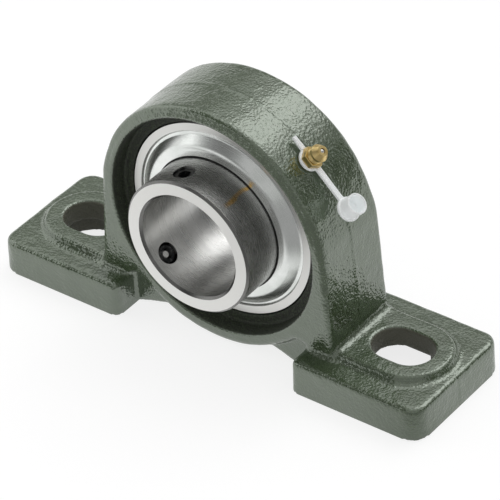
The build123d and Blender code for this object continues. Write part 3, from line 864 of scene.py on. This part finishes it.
class BearingMetalSettings(bpy.types.PropertyGroup):
    steel_colour: colour("Steel", "Ground bearing steel", (0.42, 0.42, 0.41))
    steel_light: colour("Bright steel", "Brighter patches of the steel", (0.60, 0.60, 0.585))
    face_colour: colour("Turned faces", "Matt side faces of the rings", (0.80, 0.80, 0.775))
    corner_colour: colour("Corners", "Turned chamfers of the rings", (0.10, 0.10, 0.095))
    groove_size: length("Groove size", "Pitch of the grinding grooves", 0.00004)
    groove_height: length("Groove height", "Depth of the grinding grooves", 0.000016)
    band_size: length("Band size", "Width of the brighter and duller ground bands", 0.0030)
    # The colour of a painted amber reflection along the outside of the inner ring.
    amber_reflection_colour: colour("Stain", "Old oil on the outside of the inner ring", (0.75, 0.46, 0.13))
    zinc_colour: colour("Zinc", "Bright plated sheet", (0.86, 0.88, 0.86))
    zinc_dark: colour("Dull zinc", "Duller patches of the sheet", (0.74, 0.77, 0.74))
    press_pitch: length("Press rings", "Width of the rings left by the press tool", 0.0005)
    rubber_colour: colour("Rubber", "Black rubber of the lips", (0.012, 0.012, 0.012))
    rubber_grey: colour("Grey rubber", "Greyer patches of the rubber", (0.03, 0.03, 0.029))
    oxide_colour: colour("Black oxide", "Finish of the set screws", (0.016, 0.017, 0.018))
    oxide_worn: colour("Worn oxide", "Where the oxide has rubbed thin", (0.13, 0.13, 0.125))
    shield_step: length("Shield step", "Radius where the cone meets the flange", 0.0338)
    shield_flat: length("Shield flat", "Radius where the cone meets the raised flat", 0.0299)
    shield_hole: length("Shield hole", "Radius of the hole of a shield", 0.0268)
    shield_rise: length("Shield rise", "Height of the raised flat above the flange", 0.0033)
    shield_bevel: length("Shield bevel", "Width of the bevel round the flange", 0.0005)
    shield_sheet: length("Shield sheet", "Thickness of the pressed sheet", 0.0007)
    shield_bend: length("Shield bend", "How far each bend of a shield reaches", 0.0016)
    shield_segments: count("Shield segments", "Steps round a shield", 200)
    shield_crease: angle("Shield crease", "Folds sharper than this are shaded crisp", 50)
    brass_colour: colour("Brass", "Turned brass of the nipple", (0.78, 0.60, 0.27))
    brass_dark: colour("Tarnished brass", "Darker patches of the brass", (0.56, 0.40, 0.14))


class BearingCapSettings(bpy.types.PropertyGroup):
    cap_colour: colour("Cap", "Milky plastic of the dust cap", (0.93, 0.945, 0.94))
    cap_shade: colour("Cap shade", "Thicker places of the plastic", (0.84, 0.87, 0.88))
    cap_skin: length("Skin size", "Size of the faces of the moulding's skin", 0.00016)
    cap_passes: count("Softening", "Passes that soften the edges", 4)
    cap_depth: length("Light depth", "How far light travels inside the plastic", 0.0006)
    # A painted glow that stands in for daylight coming through the cap's wall.
    cap_painted_glow: share("Cap glow", "Share of daylight that comes through the wall", 0.12)


class BearingStageSettings(bpy.types.PropertyGroup):
    azimuth: angle("Azimuth", "View round the object", 38.83)
    elevation: angle("Elevation", "View above the horizon", 36.80)
    roll: angle("Roll", "Tilt of the camera", -3.61)
    place: bpy.props.FloatVectorProperty(
        name="Place",
        description="Where the camera stands",
        default=(0.63849, -0.78903, 0.78832),
        subtype="TRANSLATION",
        unit="LENGTH",
        size=3,
    )
    lens: bpy.props.FloatProperty(
        name="Lens", description="Focal length for a 36 mm sensor", default=259.5, unit="CAMERA"
    )
    floor_size: length("Floor size", "Side of the floor", 6.0)
    floor_colour: colour("Floor", "Pale floor", (0.92, 0.92, 0.92))
    floor_patches: colour("Floor patches", "Paler patches of the floor", (0.94, 0.94, 0.94))
    floor_dark: colour("Floor end", "The end of the table in reflections", (0.05, 0.05, 0.05))
    floor_glow: share("Floor glow", "The floor's white that no shadow reaches", 0.80)
    floor_shade: share("Floor shade", "The floor's white that shadows take away", 0.28)
    left_power: watts("Left lamp", "Power of the lamp on the left", 3.5)
    front_power: watts("Front lamp", "Power of the lamp in front", 4.0)
    sweep_level: plain("Sweep", "Level of the surroundings near the horizon", 0.95)
    sweep_top: share("Sweep top", "Height, from 0 to 1 overhead, where the sweep ends", 0.16)
    sweep_end: share("Sweep end", "Height where the sweep has faded into the walls", 0.34)
    back_level: plain("Back wall", "Level of the surroundings behind the object", 0.40)
    back_top_level: plain("Back wall top", "Level of what is high behind the object", 1.05)
    front_level: plain("Front wall", "Level of the surroundings in front of the object", 0.14)
    doorway_depth: share("Doorway", "How much darker the opening behind to the right is", 0.80)
    ceiling_edge: share("Ceiling edge", "Height where the ceiling begins", 0.84)
    ceiling_start: share("Ceiling start", "Height where the ceiling is at its full level", 0.95)
    ceiling_level: plain("Ceiling", "Added level of the ceiling", 0.5)
    box_level: plain("Soft box", "Added level of the soft box behind the object", 1.6)
    open_x: plain("Open side X", "Direction of the studio's open side along X", 0.63)
    open_y: plain("Open side Y", "Direction of the studio's open side along Y", -0.777)
    open_level: share("Open level", "Share of the sweep's light from the open side", 0.3)
    edge_near: length("Table edge", "Where the table starts to darken", 0.055)
    edge_far: length("Table end", "Where it is darkest in reflections", 0.105)


# ---------------------------------------------------------------- operators
class BEARING_OT_stage(bpy.types.Operator):
    """Make the camera, the pale floor, the surroundings and the soft lamps"""
    bl_idname = "bearing.stage"
    bl_label = "Stage"

    def execute(self, context):
        settings = context.scene.bearing_stage
        context.scene.view_settings.view_transform = "Standard"
        make_camera(settings)
        make_world(settings)
        make_floor(settings)
        make_lamp(
            "left_lamp", place=(-1.1, -0.25, 0.75), size=(1.2, 0.9), power=settings.left_power
        )
        make_lamp(
            "front_lamp", place=(0.60, -0.85, 0.85), size=(2.0, 1.5), power=settings.front_power
        )
        return {"FINISHED"}


class BEARING_OT_housing(bpy.types.Operator):
    """Make the enamelled casting"""
    bl_idname = "bearing.housing"
    bl_label = "Housing"

    def execute(self, context):
        make_housing(context.scene.bearing_housing)
        return {"FINISHED"}


class BEARING_OT_rings(bpy.types.Operator):
    """Finish the outer and inner rings"""
    bl_idname = "bearing.rings"
    bl_label = "Rings"

    def execute(self, context):
        finish_nodes(ring_steel(context.scene.bearing_metal), "outer_ring", "inner_ring")
        return {"FINISHED"}


class BEARING_OT_rolling_set(bpy.types.Operator):
    """Finish the balls and the riveted cage"""
    bl_idname = "bearing.rolling_set"
    bl_label = "Balls and Cage"

    def execute(self, context):
        metal = context.scene.bearing_metal
        balls = [node for node in frame["nodes"] if node.startswith("ball_")]
        finish_nodes(polished_steel(metal), *balls, "nipple_check_ball")
        finish_nodes(cage_steel(metal), "cage_front", "cage_rear", "cage_rivets")
        return {"FINISHED"}


class BEARING_OT_shields(bpy.types.Operator):
    """Finish the shields and their rubber lips"""
    bl_idname = "bearing.shields"
    bl_label = "Shields and Lips"

    def execute(self, context):
        metal = context.scene.bearing_metal
        zinc = shield_zinc(metal)
        for node in ("seal_shield_front", "seal_shield_back"):
            make_shield(metal, node, zinc)
        finish_nodes(lip_rubber(metal), "seal_lip_front", "seal_lip_back")
        return {"FINISHED"}


class BEARING_OT_set_screws(bpy.types.Operator):
    """Finish the set screws"""
    bl_idname = "bearing.set_screws"
    bl_label = "Set Screws"

    def execute(self, context):
        finish_nodes(screw_black(context.scene.bearing_metal), "set_screw_1", "set_screw_2")
        return {"FINISHED"}


class BEARING_OT_grease_nipple(bpy.types.Operator):
    """Finish the grease nipple and its spring"""
    bl_idname = "bearing.grease_nipple"
    bl_label = "Grease Nipple"

    def execute(self, context):
        metal = context.scene.bearing_metal
        finish_nodes(nipple_brass(metal), "grease_nipple_body")
        finish_nodes(spring_wire(metal), "nipple_check_spring")
        return {"FINISHED"}


class BEARING_OT_dust_cap(bpy.types.Operator):
    """Make the moulded dust cap with its strap"""
    bl_idname = "bearing.dust_cap"
    bl_label = "Dust Cap"

    def execute(self, context):
        make_dust_cap(context.scene.bearing_cap)
        return {"FINISHED"}


OPERATORS = (
    BEARING_OT_stage,
    BEARING_OT_housing,
    BEARING_OT_rings,
    BEARING_OT_rolling_set,
    BEARING_OT_shields,
    BEARING_OT_set_screws,
    BEARING_OT_grease_nipple,
    BEARING_OT_dust_cap,
)


class BEARING_PT_pieces(bpy.types.Panel):
    """Buttons that make or finish each piece"""
    bl_idname = "BEARING_PT_pieces"
    bl_label = "Pillow Block Bearing"
    bl_space_type = "VIEW_3D"
    bl_region_type = "UI"
    bl_category = "Bearing"

    def draw(self, context):
        for operator in OPERATORS:
            self.layout.operator(operator.bl_idname)


SETTINGS = {
    "bearing_housing": BearingHousingSettings,
    "bearing_metal": BearingMetalSettings,
    "bearing_cap": BearingCapSettings,
    "bearing_stage": BearingStageSettings,
}
CLASSES = (*SETTINGS.values(), *OPERATORS, BEARING_PT_pieces)


def register():
    for item in CLASSES:
        bpy.utils.register_class(item)
    for name, group in SETTINGS.items():
        setattr(bpy.types.Scene, name, bpy.props.PointerProperty(type=group))


def unregister():
    for name in SETTINGS:
        delattr(bpy.types.Scene, name)
    for item in reversed(CLASSES):
        bpy.utils.unregister_class(item)


def main():
    register()
    for operator in OPERATORS:
        group, name = operator.bl_idname.split(".")
        getattr(getattr(bpy.ops, group), name)()


if __name__ == "__main__":
    main()
